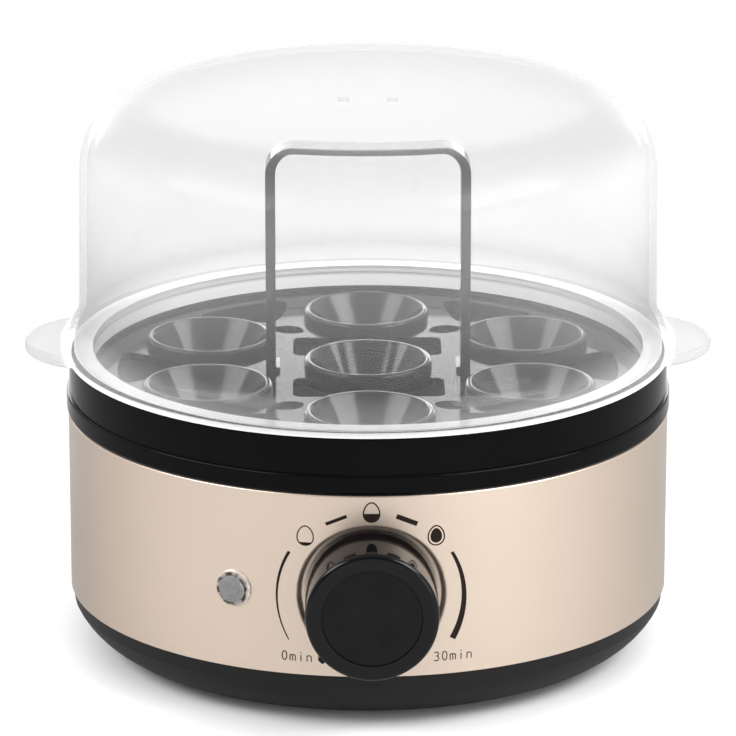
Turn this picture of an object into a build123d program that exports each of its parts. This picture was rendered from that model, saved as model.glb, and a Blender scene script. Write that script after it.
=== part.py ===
from build123d import *
import math
import os

os.makedirs("parts", exist_ok=True)

# Electric egg cooker, in millimetres.
# The origin is on the vertical axis of the round base, at the surface it stands on.
# +Z is up, -Y is the front with the dial, +X is the right-hand side seen from the front.

# Heights of the stacked rings, from the table up
foot_height = 2.0
skirt_height = 14.3
band_height = 49.9
collar_height = 5.5
tray_ring_height = 10.3
lid_height = 70.6

# Clearances
seat_gap = 0.1          # around a fixed round piece in its seat
lift_gap = 0.5          # around a piece that lifts off
running_gap = 0.05      # radial, round the turning shaft
lead_gap = 0.2          # between a lead's end and its terminal

# Base shell and foot
shell_flat_radius = 69.0
shell_wall = 2.2
shell_lip = 4.0
shell_lip_step = 0.6
shell_band_step = 0.35
shell_bulge = 1.7
upstand_height = 5.0
foot_inner_radius = 54.0
foot_width = 7.0
foot_seat = 1.0
foot_round = 0.6
vent_count = 8
vent_circle_radius = 29.0
vent_length = 15.0
vent_width = 2.6

# Tie screws, from the shell's towers up into the pan's standoffs
tie_count = 3
tie_circle_radius = 47.5
tower_radius = 5.6
tie_screw_radius = 2.0
tie_head_radius = 3.5
tie_head_height = 2.4
tie_head_depth = 6.0
tie_grip = 8.0
standoff_flats = 7.0
standoff_height = 12.0

# Metal band
band_radius = 82.0
band_thickness = 0.8
band_edge_round = 0.5

# Dial recess and timer
dial_height = 22.4      # above the band's lower edge
recess_gap = 1.5         # round the knob
recess_depth = 3.8
recess_lip_share = 0.5   # of the recess's wall at its sides, where it is lowest
recess_floor_share = 0.44
knob_radius = 17.4
knob_length = 20.3
knob_gap = 1.0
knob_wall = 2.0
knob_face = 3.2
knob_edge_round = 1.3
knob_hub_radius = 5.6
cap_radius = 13.1
cap_thickness = 1.0
cap_sink = 0.4
pointer_angle = -132.0  # clockwise from the top, seen from the front
pointer_width = 2.0
pointer_proud = 0.9
pointer_round = 0.5
shaft_radius = 3.0
shaft_flat = 0.6
shaft_end_gap = 0.4
pivot_radius = 2.0
pivot_length = 3.9
bush_radius = 4.5
bush_inside = 2.6
bush_outside = 0.9
plate_thickness = 1.0
plate_border = 1.5
case_width = 42.0
case_height = 36.0
case_depth = 23.0
case_wall = 1.5
case_corner = 3.0
boss_radius = 5.0
boss_length = 8.0
cam_radius = 12.0
cam_thickness = 3.0
cam_setback = 4.0
cam_notch = 3.0
barrel_radius = 11.0
barrel_length = 8.0
barrel_setback = 3.0
contact_width = 6.0
contact_thickness = 0.8
contact_inside = 6.0
contact_outside = 7.0
contact_drop = 8.0
bell_radius = 13.5
bell_height = 5.6
bell_thickness = 1.0
timer_screw_spacing = 24.0
screw_radius = 1.5
screw_head_radius = 2.7
screw_head_height = 1.7
timer_screw_length = 4.0
bell_screw_length = 5.0

# Indicator lamp, to the left of the dial
lamp_azimuth = 26.0
lamp_height = 22.0      # above the band's lower edge
bezel_radius = 5.15
bezel_proud = 1.1
bezel_tube_radius = 4.3
bezel_length = 8.0
bezel_wall = 0.75
lens_depth = 2.0
lens_dome = 0.8
lamp_radius = 2.3
lamp_length = 9.0
retainer_radius = 6.8
retainer_thickness = 1.2

# Mains inlet at the back
gland_height = 13.5     # above the band's lower edge
gland_neck_radius = 5.0
gland_flange_radius = 7.5
gland_bore_radius = 3.3
gland_inside = 5.0
gland_outside = 2.2

# Collar, gasket and pan
collar_proud = 0.4
collar_edge_round = 0.6
collar_foot_round = 1.4
collar_skirt = 6.2
collar_skirt_wall = 1.7
collar_shelf = 2.0
collar_rim = 3.4
gasket_thickness = 0.8
gasket_margin = 0.5
pan_edge_gap = 3.0      # between the flange and the collar's bore
pan_flange_width = 6.7
pan_taper = 5.8
pan_thickness = 1.2
pan_depth = 10.5
pan_round = 2.0

# Tubular heater
element_circle_radius = 40.0
element_radius = 3.2
element_gap_angle = 60.0
element_bend = 8.0
element_leg = 6.0
clip_gap = 0.25
clip_thickness = 0.8
clip_width = 6.0
clip_foot = 3.5
insulator_radius = 4.2
insulator_length = 3.0
pin_radius = 1.2
tab_width = 6.3
tab_thickness = 0.8
tab_length = 8.0

# Thermostat and thermal fuse
thermostat_radius = 8.0
thermostat_height = 6.0
thermostat_boss_radius = 6.4
thermostat_boss_height = 4.0
thermostat_tab_offset = 4.0
stud_spacing = 28.0
stud_radius = 1.5
stud_length = 10.0
bracket_width = 16.0
bracket_length = 38.0
bracket_thickness = 1.0
nut_flats = 5.5
nut_height = 2.4
fuse_radius = 2.2
fuse_length = 15.0
fuse_offset = 25.0
fuse_pin_radius = 0.5
fuse_pin_length = 3.0

# Terminal block
block_position = (26.0, 44.0)
block_length = 27.0
block_width = 12.0
block_height = 12.0
block_pitch = 8.0
block_bore_height = 5.0
lead_radius = 1.1
lamp_lead_radius = 0.8

# Egg tray
tray_inset = 0.4        # of its ring from the band's radius
tray_wall = 1.8
tray_plate = 2.0
tray_plate_depth = 5.7
tray_locator = 1.8
tray_rim_land = 2.9
tray_edge_round = 0.6
cup_rim_radius = 16.0
cup_wall = 1.1
cup_rim_wall = 1.5
cup_collar_height = 2.7
cup_funnel_radius = 9.6
cup_funnel_depth = 9.0
cup_row = 47.5
cup_side_x = 43.5
cup_side_y = 22.5
cup_edge_round = 0.4
cup_rim_round = 1.0
cup_flange = 0.8        # under the plate, beyond the cup's collar
cup_flange_thickness = 1.0
cup_seat_gap = 0.05
well_round = 0.9
petal_inner_radius = 49.5
petal_outer_radius = 68.5
petal_half_angle = 12.5
petal_bulge = 1.6
petal_web = 2.2
slot_outer_x = 20.5
slot_inner_x = 7.0
slot_near_y = 10.5
slot_far_y = 27.5
slot_web = 1.0
slot_round = 2.4
leaf_x = 21.8
leaf_y = 35.3
leaf_length = 9.4
leaf_width = 7.4
leaf_tilt = 30.0

# Tray handle
handle_span = 53.0
handle_top = 57.2       # above the tray's rim
handle_leg = 2.7
handle_bar = 1.7
handle_depth = 9.5
handle_corner = 7.6
handle_dip = 0.6
handle_round = 0.5
handle_foot = 1.1
handle_foot_height = 1.3
handle_tab = 2.0
handle_tab_margin = 0.7
handle_tab_gap = 0.15
handle_barb = 0.8
handle_barb_height = 2.0

# Lid
lid_wall = 2.0
lid_proud = 0.7
lid_band = 1.5
lid_flare_height = 12.5
lid_waist = 3.4         # how far the wall's foot lies inside the base's radius
lid_draft = 0.6
lid_shoulder = 19.1
lid_lip_depth = 4.4
lid_lip_wall = 1.1
lug_reach = 11.3
lug_width = 43.0
lug_thickness = 3.0
lug_round = 1.0
lug_root = 20.0
steam_hole_radius = 1.5
steam_hole_spacing = 13.2

# Levels
underside_z = foot_height
shell_floor_z = underside_z + shell_wall
band_bottom_z = underside_z + skirt_height
band_top_z = band_bottom_z + band_height
collar_top_z = band_top_z + collar_height
rim_z = collar_top_z + tray_ring_height
lid_top_z = rim_z + lid_height
shelf_z = band_top_z + collar_shelf
flange_z = shelf_z + gasket_thickness
pan_top_z = flange_z + pan_thickness
pan_floor_z = pan_top_z - pan_depth
pan_under_z = pan_floor_z - pan_thickness
plate_z = rim_z - tray_plate_depth
cup_top_z = plate_z + cup_collar_height
dial_z = band_bottom_z + dial_height
lamp_z = band_bottom_z + lamp_height
gland_z = band_bottom_z + gland_height

# Radii that follow from the band
band_inner_radius = band_radius - band_thickness
upstand_radius = band_inner_radius - seat_gap
collar_radius = band_radius + collar_proud
collar_bore_radius = collar_radius - collar_rim
pan_flange_radius = collar_bore_radius - pan_edge_gap
pan_top_radius = pan_flange_radius - pan_flange_width
pan_floor_radius = pan_top_radius - pan_taper
shelf_bore_radius = pan_top_radius + 2 * pan_thickness
tray_radius = band_radius - tray_inset
well_radius = collar_bore_radius - lift_gap - tray_wall
cup_collar_radius = cup_rim_radius + cup_rim_wall

# Distances forward of the axis along the dial's axis
floor_front = band_radius - recess_depth
recess_radius = knob_radius + recess_gap
recess_side = math.sqrt(band_radius**2 - recess_radius**2) - floor_front
recess_lip_round = recess_lip_share * recess_side
recess_floor_round = recess_floor_share * recess_side
floor_back = floor_front - band_thickness
plate_back = floor_back - plate_thickness
case_back = plate_back - case_depth
case_inner_back = case_back + case_wall
boss_back = case_back - boss_length
bush_front = floor_front + bush_outside
bush_back = plate_back - bush_inside
knob_back = floor_front + knob_gap
knob_front = knob_back + knob_length
cap_seat = knob_front - cap_sink - cap_thickness
knob_inner = knob_front - knob_face
shaft_front = knob_inner - shaft_end_gap
shaft_back = case_inner_back + 2 * shaft_end_gap
cam_front = plate_back - cam_setback
cam_back = cam_front - cam_thickness
barrel_back = case_inner_back + barrel_setback
bell_front = boss_back

# Planes and axes
section = Plane.XZ
dial_axis = Axis((0, 0, dial_z), (0, -1, 0))
dial_section = Plane(origin=(0, 0, dial_z), x_dir=(0, -1, 0), z_dir=(-1, 0, 0))
tie_angles = [90.0 + 360.0 * n / tie_count for n in range(tie_count)]
tie_places = [
    (tie_circle_radius * math.cos(math.radians(a)), tie_circle_radius * math.sin(math.radians(a)))
    for a in tie_angles
]
cup_places = [(0, 0), (0, cup_row), (0, -cup_row)]
cup_places += [(sx * cup_side_x, sy * cup_side_y) for sx in (-1, 1) for sy in (-1, 1)]


def dial_plane(forward):
    """A plane facing the front, that far forward of the axis, centred on the dial."""
    return Plane(origin=(0, -forward, dial_z), x_dir=(1, 0, 0), z_dir=(0, -1, 0))


def lamp_plane(outward):
    """A plane facing out through the indicator's centre, that far out from the band's surface."""
    a = math.radians(lamp_azimuth)
    out = Vector(-math.sin(a), -math.cos(a), 0)
    centre = out * (band_radius + outward) + Vector(0, 0, lamp_z)
    return Plane(origin=centre, x_dir=(-out.Y, out.X, 0), z_dir=out)


lamp_axis = Axis(lamp_plane(0).origin, lamp_plane(0).z_dir)


def bulged(start, end, depth):
    """The middle of a chord, pushed out to the chord's right by a depth."""
    dx, dy = end[0] - start[0], end[1] - start[1]
    run = math.hypot(dx, dy)
    return ((start[0] + end[0]) / 2 + dy / run * depth, (start[1] + end[1]) / 2 - dx / run * depth)


# Rubber ring that the cooker stands on
with BuildPart() as foot_ring:
    with BuildSketch(section):
        Polygon(
            (foot_inner_radius, 0),
            (foot_inner_radius + foot_width, 0),
            (foot_inner_radius + foot_width, underside_z + foot_seat),
            (foot_inner_radius, underside_z + foot_seat),
        )
    revolve(axis=Axis.Z)
    fillet(foot_ring.edges().group_by(Axis.Z)[0], foot_round)

# Bottom shell: a shallow bowl with an upstand inside the band, screw towers and vents
shell_lip_z = band_bottom_z - shell_lip
shell_lip_radius = band_radius - shell_band_step
shell_side_radius = shell_lip_radius - shell_lip_step
shell_inner_radius = upstand_radius - shell_wall
shell_floor_radius = shell_flat_radius - shell_wall / 2
tower_top_z = pan_under_z - standoff_height
tie_head_z = underside_z + tie_head_depth
with BuildPart() as base_shell:
    with BuildSketch(section):
        with BuildLine():
            outer_foot = (shell_flat_radius, underside_z)
            outer_side = (shell_side_radius, shell_lip_z)
            inner_side = (shell_inner_radius, shell_lip_z)
            inner_foot = (shell_floor_radius, shell_floor_z)
            Polyline((0, shell_floor_z), (0, underside_z), outer_foot)
            ThreePointArc(outer_foot, bulged(outer_foot, outer_side, shell_bulge), outer_side)
            Polyline(
                outer_side,
                (shell_lip_radius, band_bottom_z),
                (upstand_radius, band_bottom_z),
                (upstand_radius, band_bottom_z + upstand_height),
                (shell_inner_radius, band_bottom_z + upstand_height),
                inner_side,
            )
            ThreePointArc(inner_side, bulged(inner_side, inner_foot, -shell_bulge), inner_foot)
            Line(inner_foot, (0, shell_floor_z))
        make_face()
    revolve(axis=Axis.Z)
    with BuildSketch(Plane.XY.offset(underside_z)):
        Circle(foot_inner_radius + foot_width + seat_gap)
        Circle(foot_inner_radius - seat_gap, mode=Mode.SUBTRACT)
    extrude(amount=foot_seat, mode=Mode.SUBTRACT)
    with BuildSketch(Plane.XY.offset(underside_z)):
        with Locations(*tie_places):
            Circle(tower_radius)
    extrude(amount=tower_top_z - underside_z)
    with BuildSketch(Plane.XY.offset(underside_z)):
        with Locations(*tie_places):
            Circle(tie_head_radius + 3 * seat_gap)
    extrude(amount=tie_head_depth, mode=Mode.SUBTRACT)
    with BuildSketch(Plane.XY.offset(tie_head_z)):
        with Locations(*tie_places):
            Circle(tie_screw_radius + 2 * seat_gap)
    extrude(amount=tower_top_z - tie_head_z, mode=Mode.SUBTRACT)
    with BuildSketch(Plane.XY.offset(underside_z)):
        with PolarLocations(vent_circle_radius, vent_count):
            SlotOverall(vent_length, vent_width)
    extrude(amount=shell_wall, mode=Mode.SUBTRACT)
    with BuildSketch(Plane.XY.offset(band_bottom_z)):
        with Locations((0, -upstand_radius)):
            Rectangle(case_width + 2 * plate_border + shell_lip, upstand_radius / 2)
    extrude(amount=upstand_height, mode=Mode.SUBTRACT)

# Long screws that clamp the shell, the band and the collar against the pan
with BuildPart() as tie_screws:
    with BuildSketch(Plane.XY.offset(tie_head_z)):
        with Locations(*tie_places):
            Circle(tie_head_radius)
    extrude(amount=-tie_head_height)
    with BuildSketch(Plane.XY.offset(tie_head_z)):
        with Locations(*tie_places):
            Circle(tie_screw_radius)
    extrude(amount=tower_top_z - tie_head_z + tie_grip)

# Band: a rolled sheet ring, its dial dish, and the holes for the lamp and the mains inlet
dish_wall = recess_radius + band_thickness
with BuildPart() as dial_dish:
    with BuildSketch(dial_section):
        Polygon(
            (floor_back, bush_radius + 2 * seat_gap),
            (floor_front, bush_radius + 2 * seat_gap),
            (floor_front, recess_radius),
            (collar_radius, recess_radius),
            (collar_radius, dish_wall),
            (floor_back, dish_wall),
        )
    revolve(axis=dial_axis)
    with BuildSketch(Plane.XY.offset(band_bottom_z)):
        Circle(band_radius)
    extrude(amount=band_height, mode=Mode.INTERSECT)
    fillet(dial_dish.faces().sort_by(Axis.Y).filter_by(GeomType.PLANE)[0].outer_wire().edges(), recess_floor_round)

with BuildPart() as housing_band:
    with BuildSketch(section):
        Polygon(
            (band_inner_radius, band_bottom_z),
            (band_radius, band_bottom_z),
            (band_radius, band_top_z),
            (band_inner_radius, band_top_z),
        )
    revolve(axis=Axis.Z)
    fillet(housing_band.edges().group_by(Axis.Z)[-1].sort_by(SortBy.LENGTH)[-1], band_edge_round)
    with BuildSketch(dial_plane(0)):
        Circle(recess_radius + band_thickness / 2)
    extrude(amount=collar_radius, mode=Mode.SUBTRACT)
    add(dial_dish.part)
    lip = housing_band.edges().filter_by(
        lambda e: abs((e @ 0.3 - Vector(0, (e @ 0.3).Y, dial_z)).length - recess_radius) < 0.01
        and (e @ 0.3).Y < -floor_front - recess_floor_round - 0.01
    )
    fillet(lip, recess_lip_round)
    with BuildSketch(dial_plane(floor_back)):
        with Locations((-timer_screw_spacing / 2, 0), (timer_screw_spacing / 2, 0)):
            Circle(screw_radius + seat_gap)
    extrude(amount=band_thickness, mode=Mode.SUBTRACT)
    with BuildSketch(lamp_plane(-bezel_length)):
        Circle(bezel_tube_radius + seat_gap)
    extrude(amount=2 * bezel_length, mode=Mode.SUBTRACT)
    with BuildSketch(Plane(origin=(0, 0, gland_z), x_dir=(-1, 0, 0), z_dir=(0, 1, 0))):
        Circle(gland_neck_radius + seat_gap)
    extrude(amount=collar_radius, mode=Mode.SUBTRACT)

# Rubber grommet of the mains inlet
gland_section = Plane(origin=(0, 0, gland_z), x_dir=(0, 1, 0), z_dir=(1, 0, 0))
gland_sag = gland_flange_radius**2 / (2 * band_inner_radius)
gland_inner_y = band_inner_radius - gland_sag - seat_gap / 2
gland_outer_y = band_radius + seat_gap / 2
with BuildPart() as cord_gland:
    with BuildSketch(gland_section):
        Polygon(
            (gland_inner_y - gland_inside, gland_bore_radius),
            (gland_inner_y - gland_inside, gland_neck_radius + 1),
            (gland_inner_y, gland_flange_radius),
            (gland_inner_y, gland_neck_radius),
            (gland_outer_y, gland_neck_radius),
            (gland_outer_y, gland_flange_radius),
            (gland_outer_y + gland_outside, gland_flange_radius - 1),
            (gland_outer_y + gland_outside, gland_bore_radius),
        )
    revolve(axis=Axis((0, 0, gland_z), (0, 1, 0)))

# Collar: the black ring above the band, its locating skirt and the shelf for the pan
with BuildPart() as housing_collar:
    with BuildSketch(section):
        with BuildLine():
            foot_in = (upstand_radius + 2 * seat_gap + collar_edge_round / 2, band_top_z)
            foot_out = (collar_radius, band_top_z + collar_foot_round)
            edge_low = (collar_radius, collar_top_z - collar_edge_round)
            edge_top = (collar_radius - collar_edge_round, collar_top_z)
            skirt_bottom = band_top_z - collar_skirt
            ThreePointArc(foot_in, bulged(foot_in, foot_out, collar_foot_round / 5), foot_out)
            Line(foot_out, edge_low)
            ThreePointArc(edge_low, bulged(edge_low, edge_top, collar_edge_round / 5), edge_top)
            Polyline(
                edge_top,
                (collar_bore_radius, collar_top_z),
                (collar_bore_radius, shelf_z),
                (shelf_bore_radius, shelf_z),
                (shelf_bore_radius, band_top_z),
                (upstand_radius - collar_skirt_wall, band_top_z),
                (upstand_radius - collar_skirt_wall, skirt_bottom),
                (upstand_radius, skirt_bottom),
                (upstand_radius, band_top_z),
                foot_in,
            )
        make_face()
    revolve(axis=Axis.Z)

# Silicone ring between the shelf and the pan's flange
with BuildPart() as pan_gasket:
    with BuildSketch(section):
        Polygon(
            (shelf_bore_radius + gasket_margin, shelf_z),
            (pan_flange_radius - gasket_margin, shelf_z),
            (pan_flange_radius - gasket_margin, flange_z),
            (shelf_bore_radius + gasket_margin, flange_z),
        )
    revolve(axis=Axis.Z)

# Water pan with its flange and the two studs for the thermostat's bracket
with BuildPart() as heating_pan:
    with BuildSketch(section):
        Polygon(
            (0, pan_under_z),
            (pan_floor_radius + pan_thickness / 2, pan_under_z),
            (pan_top_radius + pan_thickness, flange_z),
            (pan_flange_radius, flange_z),
            (pan_flange_radius, pan_top_z),
            (pan_top_radius, pan_top_z),
            (pan_floor_radius, pan_floor_z),
            (0, pan_floor_z),
        )
    revolve(axis=Axis.Z)
    bend = heating_pan.edges().filter_by(GeomType.CIRCLE).group_by(SortBy.RADIUS)[0:2]
    fillet(bend[0] + bend[1], pan_round)
    with BuildSketch(Plane.XY.offset(pan_under_z)):
        with Locations((0, stud_spacing / 2), (0, -stud_spacing / 2)):
            Circle(stud_radius)
    extrude(amount=-stud_length)

# Threaded hexagonal posts under the pan
with BuildPart() as pan_standoffs:
    with BuildSketch(Plane.XY.offset(tower_top_z)):
        with Locations(*tie_places):
            RegularPolygon(standoff_flats / 2, 6, major_radius=False)
            Circle(tie_screw_radius + running_gap, mode=Mode.SUBTRACT)
    extrude(amount=standoff_height)

# Tubular heater: most of a ring under the pan, with both ends bent down
element_z = pan_under_z - clip_gap - element_radius
element_half_gap = element_gap_angle / 2
leg_bottom_z = element_z - element_bend - element_leg


def ring_point(angle):
    """A point of the heater's ring and the direction the ring runs in there."""
    a = math.radians(angle)
    at = Vector(element_circle_radius * math.cos(a), element_circle_radius * math.sin(a), element_z)
    return at, Vector(-math.sin(a), math.cos(a), 0)


start_at, start_run = ring_point(element_half_gap)
end_at, end_run = ring_point(360 - element_half_gap)
down = Vector(0, 0, -1)
start_leg = start_at - start_run * element_bend + down * element_bend
end_leg = end_at + end_run * element_bend + down * element_bend
leg_places = [(start_leg.X, start_leg.Y), (end_leg.X, end_leg.Y)]
with BuildPart() as heating_element:
    with BuildLine() as element_path:
        Line(start_leg + down * element_leg, start_leg)
        TangentArc(start_leg, start_at, tangent=(0, 0, 1))
        CenterArc((0, 0, element_z), element_circle_radius, element_half_gap, 360 - element_gap_angle)
        TangentArc(end_at, end_leg, tangent=end_run)
        Line(end_leg, end_leg + down * element_leg)
    with BuildSketch(Plane.XY.offset(leg_bottom_z)):
        with Locations(leg_places[0]):
            Circle(element_radius)
    sweep(path=element_path.wire())


def tube_clip(plane, tube_radius):
    """An omega-shaped strap under the pan that holds a tube, drawn across the tube."""
    inner = tube_radius + clip_gap
    outer = inner + clip_thickness
    with BuildSketch(plane) as strap:
        with Locations((0, -inner)):
            Circle(outer)
        with Locations((0, -inner / 2)):
            Rectangle(2 * outer, inner)
        with Locations((0, -clip_thickness / 2)):
            Rectangle(2 * (outer + clip_foot), clip_thickness)
        with Locations((0, -inner)):
            Circle(inner, mode=Mode.SUBTRACT)
        with Locations((0, 0)):
            Rectangle(2 * inner, 2 * inner, mode=Mode.SUBTRACT)
        with Locations((0, outer)):
            Rectangle(2 * outer, 2 * outer, mode=Mode.SUBTRACT)
    extrude(strap.sketch, amount=clip_width / 2, both=True)


with BuildPart() as element_clips:
    for angle in (60, 180, 300):
        out = Vector(math.cos(math.radians(angle)), math.sin(math.radians(angle)), 0)
        at = out * element_circle_radius + Vector(0, 0, pan_under_z)
        tube_clip(Plane(origin=at, x_dir=out, z_dir=(out.Y, -out.X, 0)), element_radius)

# Ceramic seals at the heater's ends, and the tabs that the leads push on to
with BuildPart() as element_insulators:
    with BuildSketch(Plane.XY.offset(leg_bottom_z)):
        with Locations(*leg_places):
            Circle(insulator_radius)
            Circle(pin_radius + running_gap, mode=Mode.SUBTRACT)
    extrude(amount=-insulator_length)

tab_top_z = leg_bottom_z - insulator_length
with BuildPart() as element_tabs:
    with BuildSketch(Plane.XY.offset(tab_top_z)):
        with Locations(*leg_places):
            Circle(pin_radius)
    extrude(amount=insulator_length)
    with BuildSketch(Plane.XY.offset(tab_top_z)):
        with Locations(*leg_places):
            Rectangle(tab_thickness, tab_width)
            Circle(pin_radius)
    extrude(amount=-tab_thickness)
    with BuildSketch(Plane.XY.offset(tab_top_z)):
        with Locations(*leg_places):
            Rectangle(tab_thickness, tab_width)
    extrude(amount=-tab_length)

# Thermostat against the middle of the pan, its bracket and nuts
thermostat_base_z = pan_under_z - thermostat_height
thermostat_tab_z = thermostat_base_z - thermostat_boss_height
with BuildPart() as thermostat:
    with BuildSketch(Plane.XY.offset(pan_under_z)):
        Circle(thermostat_radius)
    extrude(amount=-thermostat_height)
    with BuildSketch(Plane.XY.offset(thermostat_base_z)):
        Circle(thermostat_boss_radius)
    extrude(amount=-thermostat_boss_height)
    with BuildSketch(Plane.XY.offset(thermostat_tab_z)):
        with Locations((-thermostat_tab_offset, 0), (thermostat_tab_offset, 0)):
            Rectangle(tab_thickness, tab_width)
    extrude(amount=-tab_length)

stud_places = [(0, stud_spacing / 2), (0, -stud_spacing / 2)]
with BuildPart() as thermostat_bracket:
    with BuildSketch(Plane.XY.offset(thermostat_base_z)):
        SlotOverall(bracket_length, bracket_width, rotation=90)
        Circle(thermostat_boss_radius + 2 * seat_gap, mode=Mode.SUBTRACT)
        with Locations(*stud_places):
            Circle(stud_radius + seat_gap, mode=Mode.SUBTRACT)
    extrude(amount=-bracket_thickness)

with BuildPart() as bracket_nuts:
    with BuildSketch(Plane.XY.offset(thermostat_base_z - bracket_thickness)):
        with Locations(*stud_places):
            RegularPolygon(nut_flats / 2, 6, major_radius=False)
            Circle(stud_radius + running_gap, mode=Mode.SUBTRACT)
    extrude(amount=-nut_height)

# Thermal fuse and the strap that presses it to the pan
fuse_z = pan_under_z - clip_gap - fuse_radius
fuse_plane = Plane(origin=(0, fuse_offset, fuse_z), x_dir=(0, 1, 0), z_dir=(1, 0, 0))
with BuildPart() as thermal_fuse:
    with BuildSketch(fuse_plane):
        Circle(fuse_radius)
    extrude(amount=fuse_length / 2, both=True)
    with BuildSketch(fuse_plane):
        Circle(fuse_pin_radius)
    extrude(amount=fuse_length / 2 + fuse_pin_length, both=True)

with BuildPart() as fuse_clip:
    tube_clip(Plane(origin=(0, fuse_offset, pan_under_z), x_dir=(0, 1, 0), z_dir=(1, 0, 0)), fuse_radius)

# Timer: mounting plate, case, shaft with cam and spring barrel, contacts and bell
with BuildPart() as timer_plate:
    with BuildSketch(dial_plane(plate_back)):
        RectangleRounded(case_width + 2 * plate_border, case_height + 2 * plate_border, case_corner)
        Circle(bush_radius + seat_gap, mode=Mode.SUBTRACT)
        with Locations((-timer_screw_spacing / 2, 0), (timer_screw_spacing / 2, 0)):
            Circle(screw_radius + running_gap, mode=Mode.SUBTRACT)
    extrude(amount=plate_thickness)

contact_z = dial_z - contact_drop
contact_forward = cam_front - cam_thickness / 2
with BuildPart() as timer_case:
    with BuildSketch(dial_plane(case_back)):
        RectangleRounded(case_width, case_height, case_corner)
    extrude(amount=case_depth)
    with BuildSketch(dial_plane(case_inner_back)):
        RectangleRounded(case_width - 2 * case_wall, case_height - 2 * case_wall, case_corner - case_wall)
    extrude(amount=case_depth - case_wall, mode=Mode.SUBTRACT)
    with BuildSketch(dial_plane(boss_back)):
        Circle(boss_radius)
    extrude(amount=boss_length)
    with BuildSketch(dial_plane(case_inner_back)):
        Circle(pivot_radius + running_gap)
    extrude(amount=-pivot_length, mode=Mode.SUBTRACT)
    with BuildSketch(dial_plane(boss_back)):
        Circle(screw_radius + running_gap)
    extrude(amount=bell_screw_length - bell_thickness, mode=Mode.SUBTRACT)
    with BuildSketch(Plane(origin=(0, -contact_forward, contact_z), x_dir=(0, -1, 0), z_dir=(1, 0, 0))):
        Rectangle(contact_thickness + 2 * seat_gap, contact_width + 2 * seat_gap)
    extrude(amount=case_width, both=True, mode=Mode.SUBTRACT)

with BuildPart() as shaft_bush:
    with BuildSketch(dial_plane(bush_back)):
        Circle(bush_radius)
        Circle(shaft_radius + running_gap, mode=Mode.SUBTRACT)
    extrude(amount=bush_front - bush_back)

with BuildPart() as timer_shaft:
    with BuildSketch(dial_plane(shaft_back)):
        Circle(shaft_radius)
    extrude(amount=shaft_front - shaft_back)
    with BuildSketch(dial_plane(case_inner_back)):
        Circle(pivot_radius)
    extrude(amount=-(pivot_length - shaft_end_gap))
    with BuildSketch(dial_plane(case_inner_back)):
        Circle(pivot_radius)
    extrude(amount=shaft_back - case_inner_back)
    with BuildSketch(dial_plane(knob_back)):
        with Locations((0, 2 * shaft_radius - shaft_flat)):
            Rectangle(4 * shaft_radius, 2 * shaft_radius)
    extrude(amount=knob_length, mode=Mode.SUBTRACT)

with BuildPart() as timer_cam:
    with BuildSketch(dial_plane(cam_back)):
        Circle(cam_radius)
        Circle(shaft_radius + running_gap / 2, mode=Mode.SUBTRACT)
        with Locations((0, cam_radius)):
            Circle(cam_notch, mode=Mode.SUBTRACT)
    extrude(amount=cam_thickness)

with BuildPart() as spring_barrel:
    with BuildSketch(dial_plane(barrel_back)):
        Circle(barrel_radius)
        Circle(shaft_radius + running_gap / 2, mode=Mode.SUBTRACT)
    extrude(amount=barrel_length)
    chamfer(spring_barrel.edges().filter_by(GeomType.CIRCLE).group_by(SortBy.RADIUS)[-1], band_edge_round)

contact_length = contact_inside + case_wall + contact_outside
contact_middle = case_width / 2 + contact_outside - contact_length / 2
with BuildPart() as timer_contacts:
    with BuildSketch(Plane.XY.offset(contact_z - contact_width / 2)):
        with Locations((-contact_middle, -contact_forward), (contact_middle, -contact_forward)):
            Rectangle(contact_length, contact_thickness)
    extrude(amount=contact_width)

with BuildPart() as timer_bell:
    with BuildSketch(dial_section):
        with BuildLine():
            crown = bell_front - bell_thickness
            shoulder = (crown, bell_radius - bell_height)
            rim = (crown + bell_height, bell_radius)
            rim_in = (crown + bell_height, bell_radius - bell_thickness)
            shoulder_in = (bell_front, bell_radius - bell_height)
            hole = screw_radius + seat_gap
            Polyline(shoulder_in, (bell_front, hole), (crown, hole), shoulder)
            ThreePointArc(shoulder, bulged(shoulder, rim, -bell_thickness), rim)
            Line(rim, rim_in)
            ThreePointArc(rim_in, bulged(rim_in, shoulder_in, bell_thickness), shoulder_in)
        make_face()
    revolve(axis=dial_axis)

with BuildPart() as bell_screw:
    with BuildSketch(dial_plane(crown)):
        Circle(screw_head_radius)
    extrude(amount=-screw_head_height)
    with BuildSketch(dial_plane(crown)):
        Circle(screw_radius)
    extrude(amount=bell_screw_length - shaft_end_gap)

with BuildPart() as timer_screws:
    with BuildSketch(dial_plane(floor_front)):
        with Locations((-timer_screw_spacing / 2, 0), (timer_screw_spacing / 2, 0)):
            Circle(screw_head_radius)
    extrude(amount=screw_head_height)
    with BuildSketch(dial_plane(floor_front)):
        with Locations((-timer_screw_spacing / 2, 0), (timer_screw_spacing / 2, 0)):
            Circle(screw_radius)
    extrude(amount=-timer_screw_length)

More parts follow.
